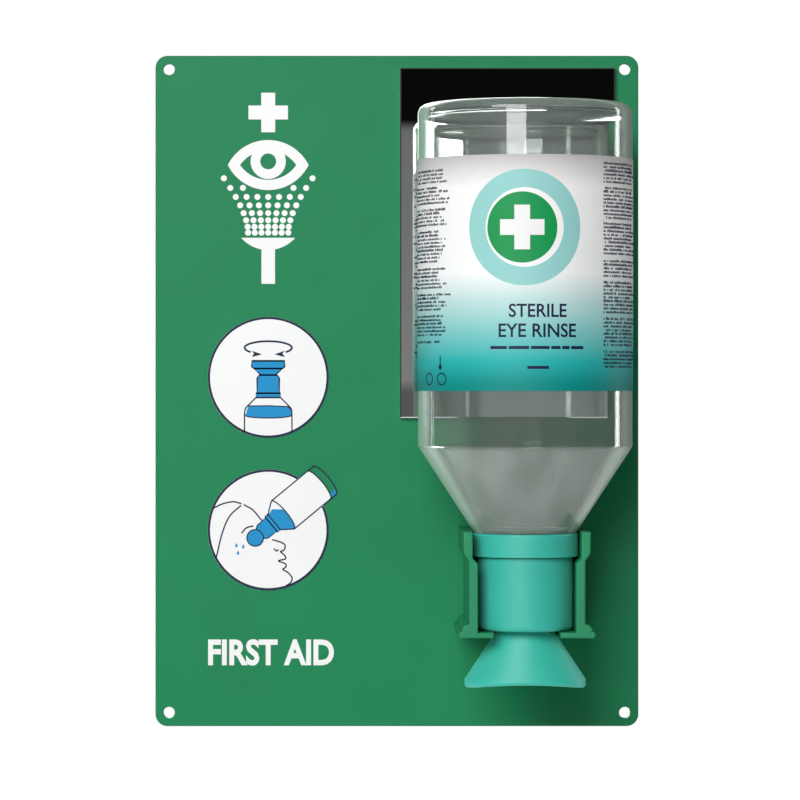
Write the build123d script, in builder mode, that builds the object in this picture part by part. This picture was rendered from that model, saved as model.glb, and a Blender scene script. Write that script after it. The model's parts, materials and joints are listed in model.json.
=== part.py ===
from build123d import *
import os
from math import atan, cos

# Wall-mounted eyewash station: a green back panel with a mirror, two instruction
# stickers and a first-aid symbol, and an inverted saline bottle whose twist cap
# and eyecup stand in an open-fronted bracket.
# Millimetres. The origin is the centre of the panel's back face, which lies on the
# wall. +Z is up, the wall is towards +Y and the user stands on the -Y side.

# ---- back panel ----
panel_width = 170.0
panel_height = 236.0
panel_thickness = 3.0
panel_corner_radius = 4.2
panel_edge_round = 0.5
wall_hole_radius = 2.0
wall_hole_inset = 4.8

# ---- mirror and its tape ----
mirror_width = 75.5
mirror_height = 123.0
mirror_thickness = 2.0
mirror_edge_bevel = 0.4
mirror_side_margin = 8.4
mirror_top_margin = 4.5
tape_thickness = 0.5
tape_width = 12.0
tape_inset = 6.0

# ---- bottle, standing on its neck ----
bottle_offset = 43.0
bottle_gap = 6.0
bottle_radius = 36.5
bottle_wall = 1.5
bottle_base_thickness = 3.5
bottle_base_round = 4.5
bottle_body_length = 116.2
shoulder_round = 1.5
cone_height = 29.5
cone_inset = 0.7
neck_radius = 13.6
neck_wall = 2.2
neck_length = 17.8
bead_height = 0.9
bead_length = 1.6
bead_drop = 12.0
head_space = 8.0

# ---- bottle label ----
label_height = 78.5
label_thickness = 0.2
label_seam_gap = 8.0
label_above_shoulder = 18.7

# ---- collar, cap and valve inside it ----
collar_step = 1.8
collar_height = 7.8
collar_round = 0.4
cap_wall = 1.4
cap_height = 24.7
cap_bottom_round = 1.6
web_thickness = 2.0
cap_floor = 2.2
valve_wall = 2.4
port_count = 3
port_radius = 1.8
port_circle_radius = 6.0
plug_depth = 8.0
plug_wall = 1.2
plug_disc = 2.0
plug_flange = 1.2
washer_thickness = 1.0
nozzle_thickness = 2.1
jet_radius = 0.7
jet_circle_radius = 4.0
jet_count = 6

# ---- eyecup ----
spigot_radius = 7.9
spigot_length = 2.0
eyecup_bore_radius = 6.4
eyecup_neck_radius = 9.6
eyecup_half_width = 20.6
eyecup_half_depth = 15.8
eyecup_flare_height = 16.7
eyecup_rim_height = 3.0
eyecup_wall = 1.5
eyecup_rim_wall = 2.4
eyecup_rim_sag = 1.8
eyecup_rim_round = 1.0

# ---- bottle bracket ----
arm_reach = 15.0
arm_thickness = 3.1
arm_rise = 0.9
step_drop = 7.1
step_height = 2.7
back_plate = 3.0
rib_thickness = 3.0
cradle_wall = 2.6
top_plate = 2.5
lip_thickness = 1.9
lip_clearance = 1.6
foot_overhang = 3.4
foot_rise = 0.5
foot_round = 2.4
foot_tip_round = 0.9
arm_front_round = 0.5

# ---- bracket screws ----
screw_radius = 1.4
screw_head_radius = 2.8
screw_head_height = 1.5
screw_length = 12.0
screw_boss_radius = 3.6
screw_boss_depth = 13.0
screw_spacing = 17.0
screw_slot_length = 3.0
screw_slot_width = 0.7
screw_slot_depth = 1.0

# ---- clearances ----
snug = 0.1
running = 0.3
seat = 0.2

# ---- printed vinyl: symbol and stickers ----
vinyl_thickness = 0.2
graphics_offset = -45.3
cross_height = 98.0
cross_span = 13.9
cross_arm = 4.9
eye_height = 79.5
eye_half_length = 14.2
eye_half_height = 8.8
eye_inner_half_length = 9.9
eye_inner_half_height = 5.2
iris_lift = 1.3
iris_radius = 6.2
pupil_radius = 2.8
spray_base_height = 55.7
dot_radius = 1.05
dot_pitch = 2.36
dot_spread = 0.058
row_pitch = 1.97
row_growth = 0.109
stream_rows = 8
stream_side = 3
head_drop = 1.8
head_half_width = 9.5
head_depth = 4.3
stem_half_width = 2.38
stem_length = 16.2
sticker_radius = 21.3
twist_sticker_height = 4.8
rinse_sticker_height = -48.9

os.makedirs("parts", exist_ok=True)

# ---- sizes and places worked out from the ones above ----
cap_bore = neck_radius + running
groove_radius = cap_bore + bead_height
cap_radius = groove_radius + cap_wall
collar_radius = cap_radius + collar_step
cone_end_radius = collar_radius - cone_inset
neck_bore_radius = neck_radius - neck_wall
valve_bore_radius = cap_radius - valve_wall
bottle_standoff = tape_thickness + mirror_thickness + bottle_gap + bottle_radius
bracket_depth = bottle_standoff + arm_reach

panel_front = -panel_thickness
axis_x = bottle_offset
axis_y = panel_front - bottle_standoff
bottle_axis = Axis((axis_x, axis_y, 0), (0, 0, 1))
axis_plane = Plane(origin=(axis_x, axis_y, 0), x_dir=(1, 0, 0), z_dir=(0, -1, 0))
vinyl_plane = Plane(origin=(graphics_offset, panel_front, 0), x_dir=(1, 0, 0), z_dir=(0, -1, 0))

mirror_x = panel_width / 2 - mirror_side_margin - mirror_width / 2
mirror_z = panel_height / 2 - mirror_top_margin - mirror_height / 2
mirror_back = panel_front - tape_thickness

shoulder_z = -label_above_shoulder
base_z = shoulder_z + bottle_body_length
cone_end_z = shoulder_z - cone_height
neck_end_z = cone_end_z - neck_length
inner_radius = bottle_radius - bottle_wall
inner_base_z = base_z - bottle_base_thickness
cone_slope = (bottle_radius - cone_end_radius) / cone_height
cone_wall_across = bottle_wall / cos(atan(cone_slope))
inner_step_z = cone_end_z + bottle_wall
inner_step_radius = cone_end_radius + cone_slope * bottle_wall - cone_wall_across

collar_top_z = cone_end_z - seat
collar_bottom_z = collar_top_z - collar_height
cap_top_z = collar_bottom_z - running
cap_bottom_z = cap_top_z - cap_height
bead_top_z = cone_end_z - bead_drop
bead_bottom_z = bead_top_z - bead_length
plug_bottom_z = neck_end_z - snug - plug_flange
washer_top_z = plug_bottom_z - running
web_top_z = washer_top_z - washer_thickness - snug
web_bottom_z = web_top_z - web_thickness
floor_top_z = cap_bottom_z + cap_floor
port_angle = 360 / port_count


# ---- back panel, with its wall holes and the countersunk bracket holes ----
screw_mid_z = cap_bottom_z + (collar_top_z - cap_bottom_z) / 2
screw_places = [(axis_x, screw_mid_z + side * screw_spacing / 2) for side in (-1, 1)]
front_plane = Plane(origin=(0, 0, 0), x_dir=(1, 0, 0), z_dir=(0, -1, 0))

with BuildPart() as back_panel:
    with BuildSketch(front_plane):
        RectangleRounded(panel_width, panel_height, panel_corner_radius)
    extrude(amount=panel_thickness)
    fillet(back_panel.faces().sort_by(Axis.Y)[0].edges(), panel_edge_round)
    with BuildSketch(front_plane):
        with GridLocations(panel_width - 2 * wall_hole_inset, panel_height - 2 * wall_hole_inset, 2, 2):
            Circle(wall_hole_radius)
        with Locations(*screw_places):
            Circle(screw_radius + seat)
    extrude(amount=panel_thickness, mode=Mode.SUBTRACT)
    for place_x, place_z in screw_places:
        with BuildSketch(Plane(origin=(place_x, 0, place_z), x_dir=(1, 0, 0), z_dir=(0, -1, 0))):
            Circle(screw_head_radius + seat)
        extrude(amount=screw_head_height, taper=45, mode=Mode.SUBTRACT)
back_panel.part.label = "back_panel"
export_step(back_panel.part, "parts/back_panel.step")

# ---- mirror, held on the panel by two strips of tape ----
with BuildPart() as mirror_sheet:
    with BuildSketch(Plane(origin=(mirror_x, mirror_back, mirror_z), x_dir=(1, 0, 0), z_dir=(0, -1, 0))):
        Rectangle(mirror_width, mirror_height)
    extrude(amount=mirror_thickness)
    chamfer(mirror_sheet.faces().sort_by(Axis.Y)[0].edges(), mirror_edge_bevel)
mirror_sheet.part.label = "mirror"
export_step(mirror_sheet.part, "parts/mirror.step")

tape_spread = mirror_width - 2 * tape_inset - tape_width
with BuildPart() as mirror_tape:
    with BuildSketch(Plane(origin=(mirror_x, panel_front, mirror_z), x_dir=(1, 0, 0), z_dir=(0, -1, 0))):
        with GridLocations(tape_spread, 1, 2, 1):
            Rectangle(tape_width, mirror_height - 2 * tape_inset)
    extrude(amount=tape_thickness)
mirror_tape.part.label = "mirror_tape"
export_step(mirror_tape.part, "parts/mirror_tape.step")

# ---- eyewash symbol: cross, eye, spray of drops and spray head ----
with BuildPart() as eyewash_symbol:
    with BuildSketch(vinyl_plane):
        with Locations((0, cross_height)):
            Rectangle(cross_span, cross_arm)
            Rectangle(cross_arm, cross_span)
    extrude(amount=vinyl_thickness)
    with BuildSketch(vinyl_plane):
        left_tip = (-eye_half_length, eye_height)
        right_tip = (eye_half_length, eye_height)
        with BuildLine():
            ThreePointArc(left_tip, (0, eye_height + eye_half_height), right_tip)
            ThreePointArc(right_tip, (0, eye_height - eye_half_height), left_tip)
        make_face()
        inner_left = (-eye_inner_half_length, eye_height)
        inner_right = (eye_inner_half_length, eye_height)
        with BuildLine():
            ThreePointArc(inner_left, (0, eye_height + eye_inner_half_height), inner_right)
            ThreePointArc(inner_right, (0, eye_height - eye_inner_half_height), inner_left)
        make_face(mode=Mode.SUBTRACT)
        with Locations((0, eye_height + iris_lift)):
            Circle(iris_radius)
            Circle(pupil_radius, mode=Mode.SUBTRACT)
    extrude(amount=vinyl_thickness)
    with BuildSketch(vinyl_plane):
        for row in range(stream_rows):
            row_z = spray_base_height + row_pitch * row + row_growth * row**2
            row_spacing = dot_pitch + dot_spread * row**2
            missing_streams = max(0, row - (stream_rows - stream_side))
            for stream in range(-stream_side, stream_side + 1):
                if missing_streams == 0 or abs(stream) > missing_streams:
                    with Locations((stream * row_spacing, row_z)):
                        Circle(dot_radius)
    extrude(amount=vinyl_thickness)
    with BuildSketch(vinyl_plane):
        head_top = spray_base_height - head_drop
        with BuildLine():
            Line((-head_half_width, head_top), (head_half_width, head_top))
            ThreePointArc(
                (head_half_width, head_top),
                (0, head_top - head_depth),
                (-head_half_width, head_top),
            )
        make_face()
        with Locations((0, head_top - stem_length / 2)):
            Rectangle(2 * stem_half_width, stem_length)
    extrude(amount=vinyl_thickness)
eyewash_symbol.part.label = "eyewash_symbol"
export_step(eyewash_symbol.part, "parts/eyewash_symbol.step")

# ---- round instruction stickers ----
with BuildPart() as twist_step_sticker:
    with BuildSketch(vinyl_plane):
        with Locations((0, twist_sticker_height)):
            Circle(sticker_radius)
    extrude(amount=vinyl_thickness)
twist_step_sticker.part.label = "twist_step_sticker"
export_step(twist_step_sticker.part, "parts/twist_step_sticker.step")

with BuildPart() as rinse_step_sticker:
    with BuildSketch(vinyl_plane):
        with Locations((0, rinse_sticker_height)):
            Circle(sticker_radius)
    extrude(amount=vinyl_thickness)
rinse_step_sticker.part.label = "rinse_step_sticker"
export_step(rinse_step_sticker.part, "parts/rinse_step_sticker.step")

# ---- bracket: two straight arms, a half-round cradle, a lip and a flanged foot ----
arm_inner = collar_radius + running
arm_outer = arm_inner + arm_thickness
low_inner = cap_radius + running
low_outer = low_inner + arm_thickness
bracket_top_z = collar_top_z + arm_rise
outer_step_z = bracket_top_z - step_drop
seat_z = collar_bottom_z - seat
seat_end_z = seat_z - (arm_inner - low_inner)
lip_top_z = cap_bottom_z - seat
bracket_bottom_z = lip_top_z - lip_thickness
foot_top_z = lip_top_z + foot_rise
foot_tip = low_outer + foot_overhang
cradle_radius = arm_inner + cradle_wall
lip_opening = eyecup_neck_radius + lip_clearance
pocket_height = bracket_top_z - top_plate - bracket_bottom_z

# the space that the bracket leaves for collar, cap and eyecup neck, from the axis outwards
cap_space = [
    (0, bracket_top_z + arm_rise),
    (arm_inner, bracket_top_z + arm_rise),
    (arm_inner, seat_z),
    (low_inner, seat_end_z),
    (low_inner, lip_top_z),
    (lip_opening, lip_top_z),
    (lip_opening, bracket_bottom_z - arm_rise),
    (0, bracket_bottom_z - arm_rise),
]

bracket_plane = Plane(origin=(axis_x, panel_front, 0), x_dir=(1, 0, 0), z_dir=(0, -1, 0))
pocket_plane = Plane(origin=(axis_x, panel_front, bracket_bottom_z), x_dir=(1, 0, 0), z_dir=(0, 0, 1))
boss_places = [(0, place_z) for place_x, place_z in screw_places]

with BuildPart() as bottle_bracket:
    with BuildSketch(bracket_plane):
        with BuildLine():
            fillet_start = (low_outer, foot_top_z + foot_round)
            fillet_end = (low_outer + foot_round, foot_top_z)
            Polyline(
                (0, bracket_top_z),
                (arm_outer, bracket_top_z),
                (arm_outer, outer_step_z),
                (low_outer, outer_step_z - step_height),
                fillet_start,
            )
            RadiusArc(fillet_start, fillet_end, foot_round)
            Polyline(
                fillet_end,
                (foot_tip, foot_top_z),
                (foot_tip, bracket_bottom_z),
                (0, bracket_bottom_z),
                (0, bracket_top_z),
            )
        make_face()
        mirror(about=Plane.YZ)
    extrude(amount=bracket_depth)
    upright_edges = bottle_bracket.edges().filter_by(Axis.Y).group_by(Axis.X)
    fillet(upright_edges[0] + upright_edges[-1], foot_tip_round)

    # two pockets behind the cradle leave a rib between them and open downwards
    with BuildSketch(pocket_plane):
        with Locations((0, -(back_plate + bottle_standoff) / 2)):
            Rectangle(2 * low_inner, bottle_standoff - back_plate)
        with Locations((0, -bottle_standoff)):
            Circle(cradle_radius, mode=Mode.SUBTRACT)
        with Locations((0, -bottle_standoff / 2)):
            Rectangle(rib_thickness, bottle_standoff, mode=Mode.SUBTRACT)
    extrude(amount=pocket_height, mode=Mode.SUBTRACT)

    # the cap's space is turned about the bottle's axis, then carried out to the front
    with BuildSketch(axis_plane):
        with BuildLine():
            Polyline(*cap_space, close=True)
        make_face()
    revolve(axis=bottle_axis, mode=Mode.SUBTRACT)
    with BuildSketch(axis_plane):
        with BuildLine():
            Polyline(*cap_space, close=True)
        make_face()
        mirror(about=Plane.YZ)
    extrude(amount=bracket_depth, mode=Mode.SUBTRACT)

    # bosses on the rib, with pilot holes for the screws
    with BuildSketch(bracket_plane):
        with Locations(*boss_places):
            Circle(screw_boss_radius)
    extrude(amount=screw_boss_depth)
    with BuildSketch(bracket_plane):
        with Locations(*boss_places):
            Circle(screw_radius + snug / 2)
    extrude(amount=screw_length, mode=Mode.SUBTRACT)
    fillet(bottle_bracket.faces().filter_by(Axis.Y).group_by(Axis.Y)[0].edges(), arm_front_round)
bottle_bracket.part.label = "bottle_bracket"
export_step(bottle_bracket.part, "parts/bottle_bracket.step")

# ---- countersunk cross-head screws through the panel into the bracket's bosses ----
with BuildPart() as bracket_screws:
    for place_x, place_z in screw_places:
        screw_plane = Plane(origin=(place_x, -snug, place_z), x_dir=(1, 0, 0), z_dir=(0, -1, 0))
        with BuildSketch(screw_plane):
            Circle(screw_head_radius)
        extrude(amount=screw_head_height - snug, taper=45)
        with BuildSketch(screw_plane):
            Circle(screw_radius)
        extrude(amount=screw_length)
        with BuildSketch(screw_plane):
            Rectangle(screw_slot_length, screw_slot_width)
            Rectangle(screw_slot_width, screw_slot_length)
        extrude(amount=screw_slot_depth, mode=Mode.SUBTRACT)
bracket_screws.part.label = "bracket_screws"
export_step(bracket_screws.part, "parts/bracket_screws.step")

# ---- bottle shell: a straight body, a cone and a neck, standing on the neck ----
with BuildPart() as bottle_shell:
    with BuildSketch(axis_plane):
        with BuildLine():
            FilletPolyline(
                (0, base_z),
                (bottle_radius, base_z),
                (bottle_radius, shoulder_z),
                (cone_end_radius, cone_end_z),
                radius=[bottle_base_round, shoulder_round],
            )
            Polyline(
                (cone_end_radius, cone_end_z),
                (neck_radius, cone_end_z),
                (neck_radius, bead_top_z),
                (neck_radius + bead_height, bead_top_z - bead_length / 2),
                (neck_radius, bead_bottom_z),
                (neck_radius, neck_end_z),
                (0, neck_end_z),
                (0, base_z),
            )
        make_face()
    revolve(axis=bottle_axis)
    with BuildSketch(axis_plane):
        with BuildLine():
            FilletPolyline(
                (0, inner_base_z),
                (inner_radius, inner_base_z),
                (inner_radius, shoulder_z),
                (inner_step_radius, inner_step_z),
                radius=[bottle_base_round - bottle_wall, shoulder_round],
            )
            Polyline(
                (inner_step_radius, inner_step_z),
                (neck_bore_radius, inner_step_z),
                (neck_bore_radius, neck_end_z),
                (0, neck_end_z),
                (0, inner_base_z),
            )
        make_face()
    revolve(axis=bottle_axis, mode=Mode.SUBTRACT)
bottle_shell.part.label = "bottle_shell"
export_step(bottle_shell.part, "parts/bottle_shell.step")

# ---- label wrapped round the body, its seam towards the wall ----
label_inner = bottle_radius + snug / 2
label_outer = label_inner + label_thickness
with BuildPart() as bottle_label:
    with BuildSketch(Plane(origin=(axis_x, axis_y, shoulder_z + label_above_shoulder))):
        Circle(label_outer)
        Circle(label_inner, mode=Mode.SUBTRACT)
        with Locations((0, bottle_radius)):
            Rectangle(label_seam_gap, bottle_radius, mode=Mode.SUBTRACT)
    extrude(amount=label_height)
bottle_label.part.label = "bottle_label"
export_step(bottle_label.part, "parts/bottle_label.step")

# ---- plug pressed into the neck, with the valve's upper ports ----
plug_radius = neck_bore_radius - snug
plug_top_z = neck_end_z + plug_depth
plug_disc_z = plug_bottom_z + plug_disc
with BuildPart() as neck_plug:
    with BuildSketch(axis_plane):
        with BuildLine():
            Polyline(
                (0, plug_bottom_z),
                (neck_radius, plug_bottom_z),
                (neck_radius, plug_bottom_z + plug_flange),
                (plug_radius, plug_bottom_z + plug_flange),
                (plug_radius, plug_top_z),
                (plug_radius - plug_wall, plug_top_z),
                (plug_radius - plug_wall, plug_disc_z),
                (0, plug_disc_z),
                close=True,
            )
        make_face()
    revolve(axis=bottle_axis)
    with BuildSketch(Plane(origin=(axis_x, axis_y, plug_bottom_z))):
        with PolarLocations(port_circle_radius, port_count):
            Circle(port_radius)
    extrude(amount=plug_disc, mode=Mode.SUBTRACT)
neck_plug.part.label = "neck_plug"
export_step(neck_plug.part, "parts/neck_plug.step")

# ---- saline in the bottle, with air above it ----
saline_radius = inner_radius - snug
saline_top_z = inner_base_z - head_space
saline_bottom_z = plug_top_z + snug
with BuildPart() as saline_fill:
    with BuildSketch(axis_plane):
        with BuildLine():
            Polyline(
                (0, saline_top_z),
                (saline_radius, saline_top_z),
                (saline_radius, shoulder_z + shoulder_round),
                (inner_step_radius - snug, inner_step_z + snug),
                (neck_bore_radius - snug, inner_step_z + snug),
                (neck_bore_radius - snug, saline_bottom_z),
                (0, saline_bottom_z),
                close=True,
            )
        make_face()
    revolve(axis=bottle_axis)
saline_fill.part.label = "saline_fill"
export_step(saline_fill.part, "parts/saline_fill.step")

# ---- collar round the top of the neck, which rests in the bracket's wide part ----
with BuildPart() as neck_collar:
    with BuildSketch(Plane(origin=(axis_x, axis_y, collar_bottom_z))):
        Circle(collar_radius)
        Circle(neck_radius + snug, mode=Mode.SUBTRACT)
    extrude(amount=collar_height)
    fillet(neck_collar.edges().filter_by(GeomType.CIRCLE).sort_by(SortBy.RADIUS)[-2:], collar_round)
neck_collar.part.label = "neck_collar"
export_step(neck_collar.part, "parts/neck_collar.step")

# ---- cap body: turns on the neck, carries the valve's lower ports ----
groove_top_z = bead_top_z + running
groove_bottom_z = bead_bottom_z - running
with BuildPart() as cap_body:
    with BuildSketch(axis_plane):
        with BuildLine():
            Polyline(
                (cap_bore, cap_top_z),
                (cap_radius, cap_top_z),
                (cap_radius, cap_bottom_z),
                (spigot_radius + snug, cap_bottom_z),
                (spigot_radius + snug, floor_top_z),
                (valve_bore_radius, floor_top_z),
                (valve_bore_radius, web_bottom_z),
                (0, web_bottom_z),
                (0, web_top_z),
                (cap_bore, web_top_z),
                (cap_bore, groove_bottom_z),
                (groove_radius, groove_bottom_z),
                (groove_radius, groove_top_z),
                (cap_bore, groove_top_z),
                close=True,
            )
        make_face()
    revolve(axis=bottle_axis)
    with BuildSketch(Plane(origin=(axis_x, axis_y, web_bottom_z))):
        with PolarLocations(port_circle_radius, port_count, start_angle=port_angle / 2):
            Circle(port_radius)
    extrude(amount=web_thickness, mode=Mode.SUBTRACT)
    outer_rims = cap_body.edges().filter_by(GeomType.CIRCLE).sort_by(SortBy.RADIUS)[-2:]
    fillet(outer_rims.sort_by(Axis.Z)[0], cap_bottom_round)
cap_body.part.label = "cap_body"
export_step(cap_body.part, "parts/cap_body.step")

# ---- seal washer on the web, ported like it ----
with BuildPart() as seal_washer:
    with BuildSketch(Plane(origin=(axis_x, axis_y, washer_top_z - washer_thickness))):
        Circle(neck_radius)
        with PolarLocations(port_circle_radius, port_count, start_angle=port_angle / 2):
            Circle(port_radius, mode=Mode.SUBTRACT)
    extrude(amount=washer_thickness)
seal_washer.part.label = "seal_washer"
export_step(seal_washer.part, "parts/seal_washer.step")

# ---- spray nozzle: a plate of fine jets on the cap's floor ----
with BuildPart() as spray_nozzle:
    with BuildSketch(Plane(origin=(axis_x, axis_y, floor_top_z + snug))):
        Circle(valve_bore_radius - seat)
        Circle(jet_radius, mode=Mode.SUBTRACT)
        with PolarLocations(jet_circle_radius, jet_count):
            Circle(jet_radius, mode=Mode.SUBTRACT)
    extrude(amount=nozzle_thickness)
spray_nozzle.part.label = "spray_nozzle"
export_step(spray_nozzle.part, "parts/spray_nozzle.step")

# ---- eyecup: a round neck flaring to an oval rim, dished for the brow and cheek ----
eyecup_top_z = cap_bottom_z - snug
flare_end_z = eyecup_top_z - eyecup_flare_height
eyecup_bottom_z = flare_end_z - eyecup_rim_height
bore_start_z = eyecup_top_z - eyecup_wall
saddle_radius = (eyecup_half_width**2 + eyecup_rim_sag**2) / (2 * eyecup_rim_sag)
rim_inner_width = eyecup_half_width - eyecup_rim_wall
rim_inner_depth = eyecup_half_depth - eyecup_rim_wall
with BuildPart() as eyecup:
    with BuildSketch(Plane(origin=(axis_x, axis_y, eyecup_top_z))):
        Circle(eyecup_neck_radius)
    with BuildSketch(Plane(origin=(axis_x, axis_y, flare_end_z))):
        Ellipse(eyecup_half_width, eyecup_half_depth)
    loft()
    with BuildSketch(Plane(origin=(axis_x, axis_y, eyecup_bottom_z))):
        Ellipse(eyecup_half_width, eyecup_half_depth)
    extrude(amount=eyecup_rim_height)
    with BuildSketch(Plane(origin=(axis_x, axis_y, bore_start_z))):
        Circle(eyecup_bore_radius)
    with BuildSketch(Plane(origin=(axis_x, axis_y, flare_end_z))):
        Ellipse(rim_inner_width, rim_inner_depth)
    loft(mode=Mode.SUBTRACT)
    with BuildSketch(Plane(origin=(axis_x, axis_y, eyecup_bottom_z))):
        Ellipse(rim_inner_width, rim_inner_depth)
    extrude(amount=eyecup_rim_height, mode=Mode.SUBTRACT)
    with BuildSketch(Plane(origin=(axis_x, axis_y + eyecup_half_width, 0), x_dir=(1, 0, 0), z_dir=(0, -1, 0))):
        with Locations((0, eyecup_bottom_z + eyecup_rim_sag - saddle_radius)):
            Circle(saddle_radius)
    extrude(amount=2 * eyecup_half_width, mode=Mode.SUBTRACT)
    rim_edges = eyecup.faces().filter_by(GeomType.CYLINDER).sort_by(SortBy.AREA)[-1].edges()
    fillet(rim_edges, eyecup_rim_round)
    with BuildSketch(Plane(origin=(axis_x, axis_y, eyecup_top_z))):
        Circle(spigot_radius)
    extrude(amount=spigot_length)
    with BuildSketch(Plane(origin=(axis_x, axis_y, bore_start_z))):
        Circle(eyecup_bore_radius)
    extrude(amount=eyecup_wall + spigot_length, mode=Mode.SUBTRACT)
eyecup.part.label = "eyecup"
export_step(eyecup.part, "parts/eyecup.step")
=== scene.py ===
import json
import math

import bmesh
import bpy
import numpy as np
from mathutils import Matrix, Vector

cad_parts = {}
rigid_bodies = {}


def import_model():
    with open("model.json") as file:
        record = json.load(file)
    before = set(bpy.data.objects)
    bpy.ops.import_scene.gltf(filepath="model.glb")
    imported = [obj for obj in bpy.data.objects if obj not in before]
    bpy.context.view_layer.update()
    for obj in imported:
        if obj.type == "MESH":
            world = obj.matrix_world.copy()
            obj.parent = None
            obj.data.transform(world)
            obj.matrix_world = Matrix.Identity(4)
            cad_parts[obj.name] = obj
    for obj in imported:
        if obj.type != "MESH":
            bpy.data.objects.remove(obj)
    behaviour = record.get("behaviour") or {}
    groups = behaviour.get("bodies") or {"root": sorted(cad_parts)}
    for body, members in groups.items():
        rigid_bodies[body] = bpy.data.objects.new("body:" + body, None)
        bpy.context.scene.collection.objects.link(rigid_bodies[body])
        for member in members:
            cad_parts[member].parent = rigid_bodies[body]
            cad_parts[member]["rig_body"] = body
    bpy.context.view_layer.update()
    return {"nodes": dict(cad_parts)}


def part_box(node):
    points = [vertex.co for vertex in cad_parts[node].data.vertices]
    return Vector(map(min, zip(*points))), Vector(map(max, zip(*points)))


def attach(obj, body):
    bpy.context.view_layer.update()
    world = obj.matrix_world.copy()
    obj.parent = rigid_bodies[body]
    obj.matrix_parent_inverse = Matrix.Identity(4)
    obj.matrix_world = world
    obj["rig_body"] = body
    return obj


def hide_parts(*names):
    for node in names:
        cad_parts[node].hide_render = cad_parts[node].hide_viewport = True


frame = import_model()
nodes = frame["nodes"]
mm = 0.001
print("stage: frame loaded,", len(nodes), "nodes")

# places read from the frame, in metres
panelLow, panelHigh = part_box("back_panel")
collarLow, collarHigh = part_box("neck_collar")
shellLow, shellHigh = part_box("bottle_shell")
labelLow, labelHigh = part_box("bottle_label")
bottleX = (collarLow.x + collarHigh.x) / 2
bottleY = (collarLow.y + collarHigh.y) / 2
bodyLength = 116.2 * mm         # of the bottle, from its base down to its shoulder
shoulderZ = shellHigh.z - bodyLength

cameraValues = {
    "distance": 1375 * mm,      # from the panel's front to the lens
    "left": 19.7 * mm,          # the lens stands this far left of the panel's centre
    "lens": 175.8,
    "sensor": 36,
    "shiftX": 0.0738,
    "shiftY": -0.0113,
    "farthest": 20,
}

lightValues = {
    "keyPlace": (-0.62, -1.8, 0.82),
    "keySize": (1.25, 0.85),
    "keyPower": 41,
    "frontPlace": (-0.37, -2.0, 0.31),   # a low wide box that draws the white bar on the bottle
    "frontSize": (0.74, 0.34),
    "frontPower": 7,
    "rightEdgePlace": (1.35, 0.55, 0.12),
    "leftEdgePlace": (-1.15, 0.75, 0.12),
    "edgeSize": (0.16, 1.1),
    "edgePower": 4.5,
    "backPlace": (-0.5, 1.9, 0.7),
    "backSize": (1.4, 1.4),
    "backPower": 40,
    "worldSeen": 1.0,           # what the camera sees behind the object
    "worldLight": 0.05,         # what lights the object
    "aim": (0.02, -0.03, 0),    # all the lights face this place
}


def addCamera():
    data = bpy.data.cameras.new("camera")
    data.lens = cameraValues["lens"]
    data.sensor_width = cameraValues["sensor"]
    data.shift_x = cameraValues["shiftX"]
    data.shift_y = cameraValues["shiftY"]
    data.clip_end = cameraValues["farthest"]
    camera = bpy.data.objects.new("camera", data)
    camera.location = (-cameraValues["left"], panelLow.y - cameraValues["distance"], 0)
    camera.rotation_euler = (math.radians(90), 0, 0)
    bpy.context.scene.collection.objects.link(camera)
    bpy.context.scene.camera = camera
    bpy.context.scene.view_settings.view_transform = "Standard"


def addAreaLight(name, place, size, power):
    data = bpy.data.lights.new(name, "AREA")
    data.shape = "RECTANGLE"
    data.size, data.size_y = size
    data.energy = power
    lamp = bpy.data.objects.new(name, data)
    lamp.location = place
    away = np.array(place) - np.array(lightValues["aim"])
    lamp.rotation_euler = (
        math.atan2(math.hypot(away[0], away[1]), away[2]),
        0,
        math.atan2(away[1], away[0]) + math.pi / 2,
    )
    bpy.context.scene.collection.objects.link(lamp)
    return lamp


def addWorld():
    world = bpy.data.worlds.new("studio")
    world.use_nodes = True
    tree = world.node_tree
    tree.nodes.clear()
    seen = tree.nodes.new("ShaderNodeBackground")
    seen.inputs["Strength"].default_value = lightValues["worldSeen"]
    seen.inputs["Color"].default_value = (1, 1, 1, 1)
    felt = tree.nodes.new("ShaderNodeBackground")
    felt.inputs["Strength"].default_value = lightValues["worldLight"]
    felt.inputs["Color"].default_value = (1, 1, 1, 1)
    path = tree.nodes.new("ShaderNodeLightPath")
    mix = tree.nodes.new("ShaderNodeMixShader")
    out = tree.nodes.new("ShaderNodeOutputWorld")
    tree.links.new(path.outputs["Is Camera Ray"], mix.inputs[0])
    tree.links.new(felt.outputs[0], mix.inputs[1])
    tree.links.new(seen.outputs[0], mix.inputs[2])
    tree.links.new(mix.outputs[0], out.inputs["Surface"])
    bpy.context.scene.world = world


def addLights():
    v = lightValues
    key = addAreaLight("keyLight", v["keyPlace"], v["keySize"], v["keyPower"])
    key.visible_transmission = False            # so that no white box shows through the bottle
    front = addAreaLight("frontLight", v["frontPlace"], v["frontSize"], v["frontPower"])
    front.visible_diffuse = False               # it only draws the gloss
    addAreaLight("rightEdgeLight", v["rightEdgePlace"], v["edgeSize"], v["edgePower"])
    addAreaLight("leftEdgeLight", v["leftEdgePlace"], v["edgeSize"], v["edgePower"])
    addAreaLight("backLight", v["backPlace"], v["backSize"], v["backPower"])


addCamera()
addWorld()
addLights()
print("stage: camera and light")


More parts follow.
